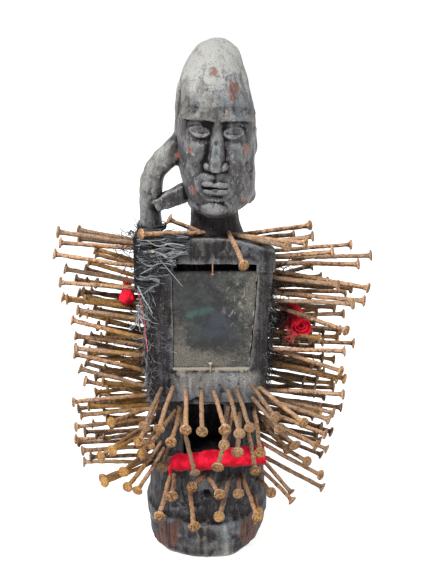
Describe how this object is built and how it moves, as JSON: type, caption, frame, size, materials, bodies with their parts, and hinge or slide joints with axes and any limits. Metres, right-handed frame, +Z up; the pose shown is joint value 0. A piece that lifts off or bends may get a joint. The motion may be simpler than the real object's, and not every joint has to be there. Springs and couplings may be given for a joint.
{
  "type": "nail fetish figure",
  "caption": "Carved dark wood figure with one arm raised to its head, a covered box in the chest, iron nails driven into its sides and belly, and red cloth among them.",
  "frame": {"origin": "middle of the flat underside of the base", "axes": "+Z up; the figure faces -Y; +X to the viewer's right"},
  "size_m": [0.319, 0.2042, 0.5273],
  "materials": {
    "wood": "carved dark wood with grey dust, worn edges and bare red-brown patches",
    "cover": "dark, dusty and scratched pane with a dull gloss",
    "iron": "rusty iron, tan to orange and dark brown",
    "pin": "dull coppery pin",
    "red_cloth": "bright crimson cotton",
    "red_thread": "twisted red cotton thread",
    "fibre": "dry grey plant fibre"
  },
  "bodies": {
    "root": {"body": "wood", "cover_panel": "cover", "cover_pin_top": "pin", "cover_pin_bottom": "pin", "fibre_binding": "fibre", "red_cloth_front": "red_cloth", "red_cloth_right": "red_cloth", "red_cloth_left": "red_cloth", "red_thread": "red_thread", "nail_left_01": "iron", "nail_left_02": "iron", "nail_left_03": "iron", "nail_left_04": "iron", "nail_left_05": "iron", "nail_left_06": "iron", "nail_left_07": "iron", "nail_left_08": "iron", "nail_left_09": "iron", "nail_left_10": "iron", "nail_left_11": "iron", "nail_left_12": "iron", "nail_left_13": "iron", "nail_left_14": "iron", "nail_left_15": "iron", "nail_left_16": "iron", "nail_right_17": "iron", "nail_right_18": "iron", "nail_right_19": "iron", "nail_right_20": "iron", "nail_right_21": "iron", "nail_right_22": "iron", "nail_right_23": "iron", "nail_right_24": "iron", "nail_right_25": "iron", "nail_right_26": "iron", "nail_right_27": "iron", "nail_right_28": "iron", "nail_right_29": "iron", "nail_right_30": "iron", "nail_right_31": "iron", "nail_right_32": "iron", "nail_front_01": "iron", "nail_front_02": "iron", "nail_front_03": "iron", "nail_front_04": "iron", "nail_front_05": "iron", "nail_front_06": "iron", "nail_front_07": "iron", "nail_front_08": "iron", "nail_front_09": "iron", "nail_front_10": "iron", "nail_front_11": "iron", "nail_front_12": "iron", "nail_front_13": "iron", "nail_front_14": "iron", "nail_front_15": "iron", "nail_front_16": "iron", "nail_front_17": "iron", "nail_front_18": "iron"}
  },
  "joints": []
}
